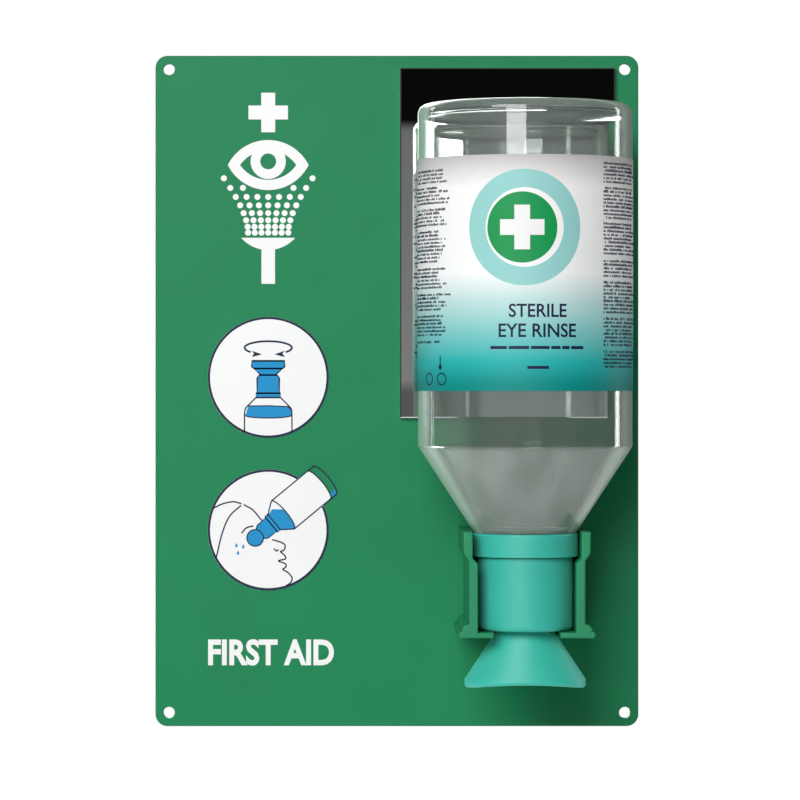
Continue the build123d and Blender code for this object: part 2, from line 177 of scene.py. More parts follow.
def makeObject(name, points, faces, body, material, smooth=True, sharpAngle=30):
    # points is an array of places, faces a list of corner numbers
    mesh = bpy.data.meshes.new(name)
    places = np.asarray(points, float).reshape(-1, 3).tolist()
    mesh.from_pydata(places, [], [list(face) for face in faces])
    work = bmesh.new()
    work.from_mesh(mesh)
    bmesh.ops.remove_doubles(work, verts=work.verts, dist=1e-7)
    bmesh.ops.recalc_face_normals(work, faces=work.faces)
    work.to_mesh(mesh)
    work.free()
    mesh.polygons.foreach_set("use_smooth", [smooth] * len(mesh.polygons))
    if smooth:
        mesh.set_sharp_from_angle(angle=math.radians(sharpAngle))
    mesh.materials.append(material)
    piece = bpy.data.objects.new(name, mesh)
    bpy.context.scene.collection.objects.link(piece)
    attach(piece, body)
    return piece


def gridFaces(rows, columns, closeRows=False, closeColumns=False):
    # quads of a grid of points, wrapped round where a direction closes
    r = np.arange(rows if closeRows else rows - 1)
    c = np.arange(columns if closeColumns else columns - 1)
    r, c = np.meshgrid(r, c, indexing="ij")
    r2 = (r + 1) % rows
    c2 = (c + 1) % columns
    corners = [r * columns + c, r * columns + c2, r2 * columns + c2, r2 * columns + c]
    return np.stack(corners, axis=-1).reshape(-1, 4)


def turnedPoints(profile, centre, segments):
    # a profile of (radius, height) turned about the upright line through centre:
    # x = cx + r sin(a), y = cy - r cos(a), z = height
    angle = np.linspace(0, 2 * np.pi, segments, endpoint=False)
    radius, height = profile[:, 0, None], profile[:, 1, None]
    x = centre[0] + radius * np.sin(angle)
    y = centre[1] - radius * np.cos(angle)
    z = np.broadcast_to(height, x.shape)
    return np.stack([x, y, z], axis=-1)


def roundedPath(corners, steps=8, support=0.12):
    # a path through corners of (x, y, rounding): each rounded corner becomes an arc that is
    # tangent to both its sides, with one support point just outside each end of the arc, at
    # a share of its rounding
    corners = np.array(corners, float)
    path = []
    last = len(corners) - 1
    for i, (x, y, rounding) in enumerate(corners):
        here = np.array([x, y])
        if rounding == 0 or i in (0, last):
            path.append(here)
            continue
        back = corners[i - 1, :2] - here
        ahead = corners[i + 1, :2] - here
        back /= np.linalg.norm(back)
        ahead /= np.linalg.norm(ahead)
        half = math.acos(np.clip(back @ ahead, -1, 1)) / 2
        reach = rounding / math.tan(half)
        middle = here + (back + ahead) / np.linalg.norm(back + ahead) * rounding / math.sin(half)
        start = here + back * reach
        end = here + ahead * reach
        a = start - middle
        b = end - middle
        sweep = math.acos(np.clip(a @ b / rounding**2, -1, 1))
        t = np.linspace(0, 1, steps + 1)[:, None]
        arc = middle + (a * np.sin((1 - t) * sweep) + b * np.sin(t * sweep)) / math.sin(sweep)
        path.append(start + back * rounding * support)
        path.extend(arc)
        path.append(end + ahead * rounding * support)
    return np.array(path)


def smoothCopy(node, material, angle=32):
    # the same shape as the node, its loose triangles joined so that round faces shade smoothly
    mesh = nodes[node].data.copy()
    work = bmesh.new()
    work.from_mesh(mesh)
    bmesh.ops.remove_doubles(work, verts=work.verts, dist=2e-6)
    work.to_mesh(mesh)
    work.free()
    if mesh.has_custom_normals:
        mesh.attributes.remove(mesh.attributes["custom_normal"])
    mesh.polygons.foreach_set("use_smooth", [True] * len(mesh.polygons))
    mesh.set_sharp_from_angle(angle=math.radians(angle))
    mesh.materials.clear()
    mesh.materials.append(material)
    piece = bpy.data.objects.new(node + "_smooth", mesh)
    bpy.context.scene.collection.objects.link(piece)
    weighted = piece.modifiers.new("weighted", "WEIGHTED_NORMAL")
    weighted.keep_sharp = True
    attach(piece, nodes[node]["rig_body"])
    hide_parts(node)


def newMaterial(name):
    material = bpy.data.materials.new(name)
    material.use_nodes = True
    tree = material.node_tree
    return material, tree, tree.nodes["Principled BSDF"]


def setShader(material, values):
    # settings of the material's own shader, by the names of its sockets
    shader = material.node_tree.nodes["Principled BSDF"]
    for socket, value in values.items():
        shader.inputs[socket].default_value = value


plasticValues = {
    "cloudScale": 45,
    "skinScale": 2600,
    "skinDepth": 0.06 * mm,
}


def mouldedPlastic(name, colour, roughness=0.4, specular=0.5, grain=0.05, mottling=0.04):
    # plain moulded plastic: a fine skin texture and a faint cloudiness of its colour
    material, tree, shader = newMaterial(name)
    place = tree.nodes.new("ShaderNodeTexCoord")
    cloud = tree.nodes.new("ShaderNodeTexNoise")
    cloud.inputs["Scale"].default_value = plasticValues["cloudScale"]
    cloud.inputs["Detail"].default_value = 3
    ramp = tree.nodes.new("ShaderNodeValToRGB")
    low = [c * (1 - mottling) for c in colour]
    high = [min(1, c * (1 + mottling)) for c in colour]
    ramp.color_ramp.elements[0].position = 0.3
    ramp.color_ramp.elements[1].position = 0.7
    ramp.color_ramp.elements[0].color = (*low, 1)
    ramp.color_ramp.elements[1].color = (*high, 1)
    skin = tree.nodes.new("ShaderNodeTexNoise")
    skin.inputs["Scale"].default_value = plasticValues["skinScale"]
    skin.inputs["Detail"].default_value = 2
    bump = tree.nodes.new("ShaderNodeBump")
    bump.inputs["Strength"].default_value = grain
    bump.inputs["Distance"].default_value = plasticValues["skinDepth"]
    links = tree.links
    links.new(place.outputs["Object"], cloud.inputs["Vector"])
    links.new(place.outputs["Object"], skin.inputs["Vector"])
    links.new(cloud.outputs["Fac"], ramp.inputs["Fac"])
    links.new(ramp.outputs["Color"], shader.inputs["Base Color"])
    links.new(skin.outputs["Fac"], bump.inputs["Height"])
    links.new(bump.outputs["Normal"], shader.inputs["Normal"])
    shader.inputs["Roughness"].default_value = roughness
    shader.inputs["Specular IOR Level"].default_value = specular
    return material


def plainInk(name, colour, roughness=0.5):
    # printed ink with a faintly uneven gloss
    material, tree, shader = newMaterial(name)
    place = tree.nodes.new("ShaderNodeTexCoord")
    noise = tree.nodes.new("ShaderNodeTexNoise")
    noise.inputs["Scale"].default_value = 300
    spread = tree.nodes.new("ShaderNodeMapRange")
    spread.inputs["To Min"].default_value = roughness - 0.05
    spread.inputs["To Max"].default_value = roughness + 0.05
    tree.links.new(place.outputs["Object"], noise.inputs["Vector"])
    tree.links.new(noise.outputs["Fac"], spread.inputs["Value"])
    tree.links.new(spread.outputs["Result"], shader.inputs["Roughness"])
    shader.inputs["Base Color"].default_value = (*colour, 1)
    shader.inputs["Specular IOR Level"].default_value = 0.2
    return material


clearValues = {
    "clear": (0.95, 0.985, 0.965, 1),
    "roughness": 0.012,
    "refraction": 1.45,
    "milkFlat": (0.67, 0.73, 0.69, 1),      # the milk where a face is seen flat on
    "milkSteep": (0.56, 0.72, 0.62, 1),     # and where it is seen at a steep angle
    "milkRoughness": 0.3,
    "wallHaze": 0.065,          # share of milky light in each face of the straight wall
    "coneHaze": 0.24,           # the same in the cone
    "hazeBelow": 1.5 * mm,      # the two meet between here under the shoulder
    "hazeAbove": 0.5 * mm,      # and here over it
    "edgeMilk": 0.5,            # how milky the steep edges look
    "edgeStart": 0.50,
    "edgeEnd": 0.62,
    "streakScale": (70, 70, 5), # faint upright streaks left by moulding
    "streakLeast": 0.65,
    "streakMost": 1.45,
}


def clearPlastic():
    # clear plastic with a little haze, more of it in the cone, and pale green milky edges
    v = clearValues
    material, tree, clear = newMaterial("clear plastic")
    clear.inputs["Base Color"].default_value = v["clear"]
    clear.inputs["Transmission Weight"].default_value = 1
    clear.inputs["Roughness"].default_value = v["roughness"]
    clear.inputs["IOR"].default_value = v["refraction"]
    milk = tree.nodes.new("ShaderNodeBsdfPrincipled")
    milk.inputs["Roughness"].default_value = v["milkRoughness"]
    place = tree.nodes.new("ShaderNodeTexCoord")
    split = tree.nodes.new("ShaderNodeSeparateXYZ")
    height = tree.nodes.new("ShaderNodeMapRange")
    height.inputs["From Min"].default_value = shoulderZ - v["hazeBelow"]
    height.inputs["From Max"].default_value = shoulderZ + v["hazeAbove"]
    height.inputs["To Min"].default_value = v["coneHaze"]
    height.inputs["To Max"].default_value = v["wallHaze"]
    stretch = tree.nodes.new("ShaderNodeMapping")
    stretch.inputs["Scale"].default_value = v["streakScale"]
    streak = tree.nodes.new("ShaderNodeTexNoise")
    streak.inputs["Scale"].default_value = 1
    streak.inputs["Detail"].default_value = 1
    spread = tree.nodes.new("ShaderNodeMapRange")
    spread.inputs["From Min"].default_value = 0.3
    spread.inputs["From Max"].default_value = 0.7
    spread.inputs["To Min"].default_value = v["streakLeast"]
    spread.inputs["To Max"].default_value = v["streakMost"]
    haze = tree.nodes.new("ShaderNodeMath")
    haze.operation = "MULTIPLY"
    weight = tree.nodes.new("ShaderNodeLayerWeight")
    weight.inputs["Blend"].default_value = 0.5
    edge = tree.nodes.new("ShaderNodeMapRange")
    edge.inputs["From Min"].default_value = v["edgeStart"]
    edge.inputs["From Max"].default_value = v["edgeEnd"]
    edge.inputs["To Max"].default_value = v["edgeMilk"]
    tint = tree.nodes.new("ShaderNodeValToRGB")
    tint.color_ramp.elements[0].color = v["milkFlat"]
    tint.color_ramp.elements[1].color = v["milkSteep"]
    tint.color_ramp.elements[1].position = v["edgeMilk"]
    total = tree.nodes.new("ShaderNodeMath")
    total.operation = "ADD"
    total.use_clamp = True
    mix = tree.nodes.new("ShaderNodeMixShader")
    links = tree.links
    links.new(place.outputs["Object"], split.inputs["Vector"])
    links.new(split.outputs["Z"], height.inputs["Value"])
    links.new(weight.outputs["Facing"], edge.inputs["Value"])
    links.new(place.outputs["Object"], stretch.inputs["Vector"])
    links.new(stretch.outputs["Vector"], streak.inputs["Vector"])
    links.new(streak.outputs["Fac"], spread.inputs["Value"])
    links.new(height.outputs["Result"], haze.inputs[0])
    links.new(spread.outputs["Result"], haze.inputs[1])
    links.new(haze.outputs[0], total.inputs[0])
    links.new(edge.outputs["Result"], total.inputs[1])
    links.new(edge.outputs["Result"], tint.inputs["Fac"])
    links.new(tint.outputs["Color"], milk.inputs["Base Color"])
    links.new(total.outputs[0], mix.inputs[0])
    links.new(clear.outputs[0], mix.inputs[1])
    links.new(milk.outputs[0], mix.inputs[2])
    links.new(mix.outputs[0], tree.nodes["Material Output"].inputs["Surface"])
    return material


def clearLiquid():
    # almost unseen inside the clear bottle
    material = newMaterial("saline")[0]
    setShader(material, {"Base Color": (0.95, 0.99, 0.99, 1), "Alpha": 0.01, "Roughness": 0.1})
    return material


def silveredGlass():
    material = newMaterial("mirror")[0]
    setShader(material, {"Base Color": (0.86, 0.88, 0.87, 1), "Metallic": 1, "Roughness": 0.01})
    return material


def labelPrint():
    # grey along the top edge, white below it, running through pale teal to full teal at the foot
    material, tree, shader = newMaterial("label print")
    place = tree.nodes.new("ShaderNodeTexCoord")
    split = tree.nodes.new("ShaderNodeSeparateXYZ")
    height = tree.nodes.new("ShaderNodeMapRange")
    height.inputs["From Min"].default_value = labelLow.z
    height.inputs["From Max"].default_value = labelHigh.z
    ramp = tree.nodes.new("ShaderNodeValToRGB")
    stops = [
        (0.0, (0.0, 0.24, 0.22)),
        (0.03, (0.0, 0.25, 0.23)),
        (0.13, (0.02, 0.43, 0.42)),
        (0.255, (0.21, 0.57, 0.56)),
        (0.38, (0.50, 0.72, 0.70)),
        (0.5, (0.90, 0.92, 0.92)),
        (0.86, (0.92, 0.92, 0.91)),
        (0.94, (0.70, 0.69, 0.68)),
        (1.0, (0.52, 0.51, 0.51)),
    ]
    elements = ramp.color_ramp.elements
    while len(elements) < len(stops):
        elements.new(0.5)
    for element, (where, colour) in zip(elements, stops):
        element.position = where
        element.color = (*colour, 1)
    links = tree.links
    links.new(place.outputs["Object"], split.inputs["Vector"])
    links.new(split.outputs["Z"], height.inputs["Value"])
    links.new(height.outputs["Result"], ramp.inputs["Fac"])
    links.new(ramp.outputs["Color"], shader.inputs["Base Color"])
    shader.inputs["Roughness"].default_value = 0.55
    shader.inputs["Specular IOR Level"].default_value = 0.2
    return material


mintValues = {                  # light goes a little way into the mint plastic
    "Subsurface Weight": 0.45,
    "Subsurface Radius": (0.25, 1.0, 0.85),
    "Subsurface Scale": 0.009,
    "Sheen Weight": 0.3,
    "Sheen Roughness": 0.6,
    "Sheen Tint": (0.35, 1.0, 0.85, 1),
}

# each plastic: name, colour, roughness, specular, grain, mottling
greenPanel = mouldedPlastic("green panel", (0.003, 0.212, 0.078), 0.5, 0.2, 0.04, 0.03)
greenMoulding = mouldedPlastic("green moulding", (0.010, 0.235, 0.098), 0.45, 0.3, 0.06, 0.03)
mintPlastic = mouldedPlastic("mint plastic", (0.03, 0.46, 0.37), 0.5, 0.5, 0.05, 0.02)
setShader(mintPlastic, mintValues)
whiteVinyl = mouldedPlastic("white vinyl", (0.86, 0.86, 0.86), 0.35, 0.4, 0.03, 0.01)
whitePlastic = mouldedPlastic("white plastic", (0.8, 0.8, 0.79), 0.4)
foamTape = mouldedPlastic("foam tape", (0.7, 0.7, 0.68), 0.8, 0.2, 0.4, 0.05)
softSeal = mouldedPlastic("soft seal", (0.55, 0.6, 0.57), 0.6, 0.3)
zincSteel = mouldedPlastic("zinc steel", (0.55, 0.55, 0.53), 0.3)
setShader(zincSteel, {"Metallic": 1})
navyInk = plainInk("navy ink", (0.006, 0.012, 0.05))
blueInk = plainInk("blue ink", (0.006, 0.26, 0.56))
greenInk = plainInk("green ink", (0.004, 0.29, 0.075))
paleTealInk = plainInk("pale teal ink", (0.30, 0.62, 0.60))
whiteInk = plainInk("white ink", (0.86, 0.86, 0.86))
mirrorSilver = silveredGlass()
bottlePlastic = clearPlastic()
salineLiquid = clearLiquid()
labelPaper = labelPrint()
print("stage: materials")


floorValues = {
    "drop": 0.18,               # below the panel's lower edge
    "radius": 0.9,
    "corners": 96,
}


def addFloor():
    v = floorValues
    ring = np.linspace(0, 2 * np.pi, v["corners"], endpoint=False)
    z = np.full(v["corners"], panelLow.z - v["drop"])
    points = np.stack([v["radius"] * np.cos(ring), v["radius"] * np.sin(ring), z], axis=-1)
    mesh = bpy.data.meshes.new("floor")
    mesh.from_pydata(points.tolist(), [], [list(range(v["corners"]))])
    material = newMaterial("pale floor")[0]
    setShader(material, {"Base Color": (0.8, 0.8, 0.8, 1), "Roughness": 0.7})
    mesh.materials.append(material)
    floor = bpy.data.objects.new("floor", mesh)
    bpy.context.scene.collection.objects.link(floor)


cardValues = {
    "y": -2.1,
    "left": 0.02,
    "right": 0.6,
    "low": -0.35,
    "high": 0.6,
    "darkAbove": 0.235,         # black from here up
    "greyBelow": 0.0,           # darker grey from here down
    "footShade": 0.10,
    "lightShade": 0.22,
    "upperShade": 0.16,         # the light grey fades to this under the black
    "darkShade": 0.003,
    "footFade": 0.01,           # share of the card's height over which the foot changes
    "darkFade": 0.004,          # the same to either side of the black's edge
    "liftFrom": 0.048,          # right of here the foot is lighter
    "liftTo": 0.056,
    "liftShade": 0.16,
    "liftFade": 0.01,           # height over which that ends, above the foot
}


def addCard():
    # a graded card behind the lens, which only the mirror and the gloss see: black, then light
    # grey, then a darker grey at its foot, by height
    v = cardValues
    points = [
        (v["left"], v["y"], v["low"]),
        (v["right"], v["y"], v["low"]),
        (v["right"], v["y"], v["high"]),
        (v["left"], v["y"], v["high"]),
    ]
    mesh = bpy.data.meshes.new("card")
    mesh.from_pydata(points, [], [[0, 1, 2, 3]])
    material = bpy.data.materials.new("graded card")
    material.use_nodes = True
    tree = material.node_tree
    tree.nodes.clear()
    place = tree.nodes.new("ShaderNodeTexCoord")
    split = tree.nodes.new("ShaderNodeSeparateXYZ")
    height = tree.nodes.new("ShaderNodeMapRange")
    height.inputs["From Min"].default_value = v["low"]
    height.inputs["From Max"].default_value = v["high"]
    ramp = tree.nodes.new("ShaderNodeValToRGB")
    span = v["high"] - v["low"]
    foot = (v["greyBelow"] - v["low"]) / span
    top = (v["darkAbove"] - v["low"]) / span
    stops = [
        (0.0, v["footShade"]),
        (foot, v["footShade"]),
        (foot + v["footFade"], v["lightShade"]),
        (top - v["darkFade"], v["upperShade"]),
        (top + v["darkFade"], v["darkShade"]),
    ]
    elements = ramp.color_ramp.elements
    while len(elements) < len(stops):
        elements.new(0.5)
    for element, (where, shade) in zip(elements, stops):
        element.position = where
        element.color = (shade, shade, shade, 1)
    right = tree.nodes.new("ShaderNodeMapRange")
    right.inputs["From Min"].default_value = v["liftFrom"]
    right.inputs["From Max"].default_value = v["liftTo"]
    right.inputs["To Max"].default_value = v["liftShade"]
    low = tree.nodes.new("ShaderNodeMapRange")
    low.inputs["From Min"].default_value = v["greyBelow"] + v["liftFade"]
    low.inputs["From Max"].default_value = v["greyBelow"]
    both = tree.nodes.new("ShaderNodeMath")
    both.operation = "MULTIPLY"
    lift = tree.nodes.new("ShaderNodeMath")
    lift.operation = "ADD"
    glow = tree.nodes.new("ShaderNodeEmission")
    out = tree.nodes.new("ShaderNodeOutputMaterial")
    links = tree.links
    links.new(place.outputs["Object"], split.inputs["Vector"])
    links.new(split.outputs["Z"], height.inputs["Value"])
    links.new(height.outputs["Result"], ramp.inputs["Fac"])
    links.new(ramp.outputs["Color"], lift.inputs[0])
    links.new(split.outputs["X"], right.inputs["Value"])
    links.new(split.outputs["Z"], low.inputs["Value"])
    links.new(right.outputs["Result"], both.inputs[0])
    links.new(low.outputs["Result"], both.inputs[1])
    links.new(both.outputs[0], lift.inputs[1])
    links.new(lift.outputs[0], glow.inputs["Strength"])
    links.new(glow.outputs[0], out.inputs["Surface"])
    mesh.materials.append(material)
    card = bpy.data.objects.new("card", mesh)
    card.visible_camera = False
    card.visible_shadow = False
    card.visible_diffuse = False
    bpy.context.scene.collection.objects.link(card)


addFloor()
addCard()
print("stage: floor and card")


def finish(node, material):
    mesh = nodes[node].data
    mesh.materials.clear()
    mesh.materials.append(material)


finish("back_panel", greenPanel)
finish("mirror", mirrorSilver)
finish("mirror_tape", foamTape)
finish("bracket_screws", zincSteel)
finish("eyewash_symbol", whiteVinyl)
finish("twist_step_sticker", whiteVinyl)
finish("rinse_step_sticker", whiteVinyl)
finish("neck_plug", whitePlastic)
finish("seal_washer", softSeal)
finish("saline_fill", salineLiquid)
smoothCopy("bottle_bracket", greenMoulding)
smoothCopy("neck_collar", mintPlastic)
smoothCopy("cap_body", mintPlastic)
smoothCopy("eyecup", mintPlastic)
smoothCopy("spray_nozzle", whitePlastic)
print("stage: packed pieces finished")


bottleValues = {
    "wall": 1.5 * mm,
    "baseThickness": 3.5 * mm,
    "baseRound": 3.4 * mm,
    "shoulderRound": 0.7 * mm,
    "smallRound": 0.3 * mm,     # every other edge
    "coneHeight": 29.5 * mm,
    "coneEnd": 17.3 * mm,
    "neck": 13.6 * mm,
    "neckBore": 11.4 * mm,
    "beadDrop": 12.0 * mm,
    "beadLength": 1.6 * mm,
    "beadHeight": 0.9 * mm,
    "segments": 224,
}


def buildBottle():
    # outer and inner walls of the bottle as one profile, from the base's centre down the
    # outside to the neck's end and back up the inside
    v = bottleValues
    radius = (shellHigh.x - shellLow.x) / 2
    top = shellHigh.z
    neckEnd = shellLow.z
    shoulder = shoulderZ
    small = v["smallRound"]
    coneFoot = shoulder - v["coneHeight"]
    slope = (radius - v["coneEnd"]) / v["coneHeight"]
    across = v["wall"] * math.sqrt(1 + slope**2)
    innerStep = coneFoot + v["wall"]
    innerStepRadius = v["coneEnd"] + slope * v["wall"] - across
    bead = coneFoot - v["beadDrop"]
    outside = [
        (0, top, 0),
        (radius, top, v["baseRound"]),
        (radius, shoulder, v["shoulderRound"]),
        (v["coneEnd"], coneFoot, small),
        (v["neck"], coneFoot, small),
        (v["neck"], bead, 0),
        (v["neck"] + v["beadHeight"], bead - v["beadLength"] / 2, small),
        (v["neck"], bead - v["beadLength"], 0),
        (v["neck"], neckEnd, small),
        (v["neckBore"], neckEnd, small),
        (v["neckBore"], innerStep, small),
        (innerStepRadius, innerStep, small),
        (radius - v["wall"], shoulder, v["shoulderRound"]),
        (radius - v["wall"], top - v["baseThickness"], v["baseRound"] - v["wall"]),
        (0, top - v["baseThickness"], 0),
    ]
    profile = roundedPath(outside, steps=10)
    points = turnedPoints(profile, (bottleX, bottleY), v["segments"])
    faces = gridFaces(len(profile), v["segments"], closeColumns=True)
    shell = makeObject("bottleShell", points, faces, "bottle", bottlePlastic)
    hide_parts("bottle_shell")


labelValues = {
    "inset": 0.05 * mm,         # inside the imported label's radius, which leaves room for the inks
    "thickness": 0.15 * mm,
    "seamGap": 8.0 * mm,
    "columns": 240,
}
labelRadius = (labelHigh.x - labelLow.x) / 2 - labelValues["inset"]


def buildLabel():
    # a thin sheet on the bottle: a rectangle of (angle round the bottle, height, depth)
    v = labelValues
    half = math.pi - v["seamGap"] / 2 / labelRadius
    angle = np.linspace(-half, half, v["columns"])
    section = np.array([
        (labelRadius, labelLow.z),
        (labelRadius, labelHigh.z),
        (labelRadius - v["thickness"], labelHigh.z),
        (labelRadius - v["thickness"], labelLow.z),
    ])
    x = bottleX + section[:, 0, None] * np.sin(angle)
    y = bottleY - section[:, 0, None] * np.cos(angle)
    z = np.broadcast_to(section[:, 1, None], x.shape)
    points = np.stack([x, y, z], axis=-1)
    columns = v["columns"]
    faces = gridFaces(4, columns, closeRows=True).tolist()
    faces += [[0, columns, 2 * columns, 3 * columns]]
    faces += [[columns - 1, 2 * columns - 1, 3 * columns - 1, 4 * columns - 1]]
    label = makeObject("bottleLabel", points, faces, "bottle", labelPaper)
    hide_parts("bottle_label")


buildBottle()
buildLabel()
print("stage: bottle")


# prints: thin closed films, worked out flat as (across, up, out) in metres, then laid on the
# panel or bent round the bottle
def ribbon(path, width, closed=False, out=0.05 * mm, back=0.0):
    # a band of even width along a path: each station carries the four corners of a thin section,
    # half the width to either side of the path
    path = np.asarray(path, float)
    if closed:
        ahead = np.roll(path, -1, axis=0) - np.roll(path, 1, axis=0)
    else:
        ahead = np.gradient(path, axis=0)
    ahead = ahead / np.linalg.norm(ahead, axis=1, keepdims=True)
    side = np.stack([-ahead[:, 1], ahead[:, 0]], axis=1) * width / 2
    count = len(path)
    points = np.empty((count, 4, 3))
    points[:, 0, :2] = points[:, 3, :2] = path - side
    points[:, 1, :2] = points[:, 2, :2] = path + side
    points[:, :2, 2] = out
    points[:, 2:, 2] = back
    faces = gridFaces(count, 4, closeRows=closed, closeColumns=True).tolist()
    if not closed:
        faces += [[0, 1, 2, 3], [4 * count - 1, 4 * count - 2, 4 * count - 3, 4 * count - 4]]
    return points.reshape(-1, 3), faces


def patch(outline, out=0.03 * mm, back=0.0):
    # a filled film: the outline at its front and at its back, joined by a rim
    outline = np.asarray(outline, float)
    count = len(outline)
    points = np.empty((2, count, 3))
    points[:, :, :2] = outline
    points[0, :, 2] = out
    points[1, :, 2] = back
    faces = gridFaces(2, count, closeColumns=True).tolist()
    faces += [list(range(count)), list(range(2 * count - 1, count - 1, -1))]
    return points.reshape(-1, 3), faces


def disc(radius, rings=10, segments=72, out=0.03 * mm, inner=0.0):
    # a round film, or a ring, as circles of growing radius, front and back
    spread = np.linspace(inner, radius, rings)
    spread = np.concatenate([spread, spread[::-1]])
    depth = np.concatenate([np.full(rings, out), np.zeros(rings)])
    angle = np.linspace(0, 2 * np.pi, segments, endpoint=False)
    x = spread[:, None] * np.cos(angle)
    z = spread[:, None] * np.sin(angle)
    points = np.stack([x, z, np.broadcast_to(depth[:, None], x.shape)], axis=-1)
    faces = gridFaces(2 * rings, segments, closeRows=inner > 0, closeColumns=True).tolist()
    return points.reshape(-1, 3), faces


def bars(places, sizes, stations=5, out=0.03 * mm):
    # many small upright rectangles at once: places are their middles, sizes their half sizes
    places, sizes = np.asarray(places, float), np.asarray(sizes, float)
    count = len(places)
    t = np.linspace(-1, 1, stations)
    points = np.empty((count, stations, 4, 3))
    points[..., 0] = (places[:, 0, None] + t * sizes[:, 0, None])[:, :, None]
    edge = np.array([-1, 1, 1, -1])
    points[..., 1] = (places[:, 1, None] + edge * sizes[:, 1, None])[:, None, :]
    points[..., 2] = np.array([out, out, 0, 0])
    one = np.array(
        gridFaces(stations, 4, closeColumns=True).tolist()
        + [[0, 1, 2, 3], [4 * stations - 1, 4 * stations - 2, 4 * stations - 3, 4 * stations - 4]]
    )
    faces = one[None] + (np.arange(count) * 4 * stations)[:, None, None]
    return points.reshape(-1, 3), faces.reshape(-1, 4).tolist()


def lettering(text, width, height, bold=0.0, out=0.03 * mm, pitch=None):
    # a line of plain letters scaled to a width and height, cut into upright strips of a pitch
    # so that it can be bent
    data = bpy.data.curves.new("letters", "FONT")
    data.body = text
    data.offset = bold
    data.extrude = 0.05
    data.resolution_u = 4
    carrier = bpy.data.objects.new("letters", data)
    bpy.context.scene.collection.objects.link(carrier)
    bpy.context.view_layer.update()
    evaluated = carrier.evaluated_get(bpy.context.evaluated_depsgraph_get())
    mesh = bpy.data.meshes.new_from_object(evaluated)
    work = bmesh.new()
    work.from_mesh(mesh)
    points = np.array([corner.co for corner in work.verts])
    low, high = points.min(axis=0), points.max(axis=0)
    scale = np.array([width, height, out]) / (high - low)
    middle = (low + high) / 2
    for corner in work.verts:
        corner.co = (np.array(corner.co) - middle) * scale + (0, 0, out / 2)
    bmesh.ops.remove_doubles(work, verts=work.verts, dist=1e-7)
    for x in np.arange(-width / 2, width / 2, pitch) if pitch else ():
        everything = work.verts[:] + work.edges[:] + work.faces[:]
        bmesh.ops.bisect_plane(
            work, geom=everything, plane_co=(x, 0, 0), plane_no=(1, 0, 0), dist=1e-7)
    work.verts.ensure_lookup_table()
    work.verts.index_update()
    points = np.array([corner.co for corner in work.verts])
    faces = [[corner.index for corner in face.verts] for face in work.faces]
    work.free()
    bpy.data.objects.remove(carrier)
    bpy.data.curves.remove(data)
    bpy.data.meshes.remove(mesh)
    return points, faces


def moved(shape, across, up):
    points, faces = shape
    return points + np.array([across, up, 0]), faces


def joined(shapes):
    points, faces, start = [], [], 0
    for shapePoints, shapeFaces in shapes:
        points.append(shapePoints)
        faces += [[i + start for i in face] for face in shapeFaces]
        start += len(shapePoints)
    return np.concatenate(points), faces


def smoothLine(points, steps=8, closed=False):
    # an even curve through all the points: the cubic that leaves each one along the line
    # between its neighbours
    p = np.asarray(points, float)
    if closed:
        p = np.concatenate([p[-1:], p, p[:2]])
    else:
        p = np.concatenate([2 * p[:1] - p[1:2], p, 2 * p[-1:] - p[-2:-1]])
    t = np.linspace(0, 1, steps, endpoint=False)[None, :, None]
    a, b, c, d = (p[i : len(p) - 3 + i, None] for i in range(4))
    curve = 0.5 * (
        2 * b + (c - a) * t + (2 * a - 5 * b + 4 * c - d) * t**2 + (3 * b - a - 3 * c + d) * t**3
    )
    curve = curve.reshape(-1, 2)
    return curve if closed else np.concatenate([curve, p[-2:-1]])


def arcLine(radiusX, radiusZ, start, end, steps=40):
    angle = np.radians(np.linspace(start, end, steps))
    return np.stack([radiusX * np.cos(angle), radiusZ * np.sin(angle)], axis=1)


def layOnPanel(name, shape, centre, front, material):
    # out of the print becomes towards the user
    points, faces = shape
    placed = np.stack(
        [centre[0] + points[:, 0], front - points[:, 2], centre[1] + points[:, 1]], axis=1
    )
    return makeObject(name, placed, faces, "station", material, smooth=False)


def bendOnLabel(name, shape, material):
    # across becomes a turn round the bottle: angle = across over the label's radius
    points, faces = shape
    angle = points[:, 0] / labelRadius
    radius = labelRadius + points[:, 2]
    placed = np.stack(
        [bottleX + radius * np.sin(angle), bottleY - radius * np.cos(angle), points[:, 1]], axis=1
    )
    return makeObject(name, placed, faces, "bottle", material, smooth=False)


letteringValues = {
    "text": "FIRST AID",
    "width": 44.3 * mm,
    "height": 9.3 * mm,
    "bold": 0.034,              # how far the strokes swell, as a share of the type size
    "thickness": 0.15 * mm,
    "centre": (-44.3 * mm, -92.0 * mm),
}


def addPanelLettering():
    v = letteringValues
    shape = lettering(v["text"], v["width"], v["height"], v["bold"], v["thickness"])
    letters = layOnPanel("panel_lettering", shape, v["centre"], panelLow.y, whiteVinyl)


twistLow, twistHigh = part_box("twist_step_sticker")
rinseLow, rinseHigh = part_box("rinse_step_sticker")
stickerValues = {
    "line": 0.58 * mm,          # the drawing's line width
    "ring": 0.8 * mm,           # the outer ring's line width
    "ringRadius": 20.88 * mm,
    "ringDepth": 0.05 * mm,
    "bottleSide": 8.35 * mm,    # half the width of the drawn upright bottle
}


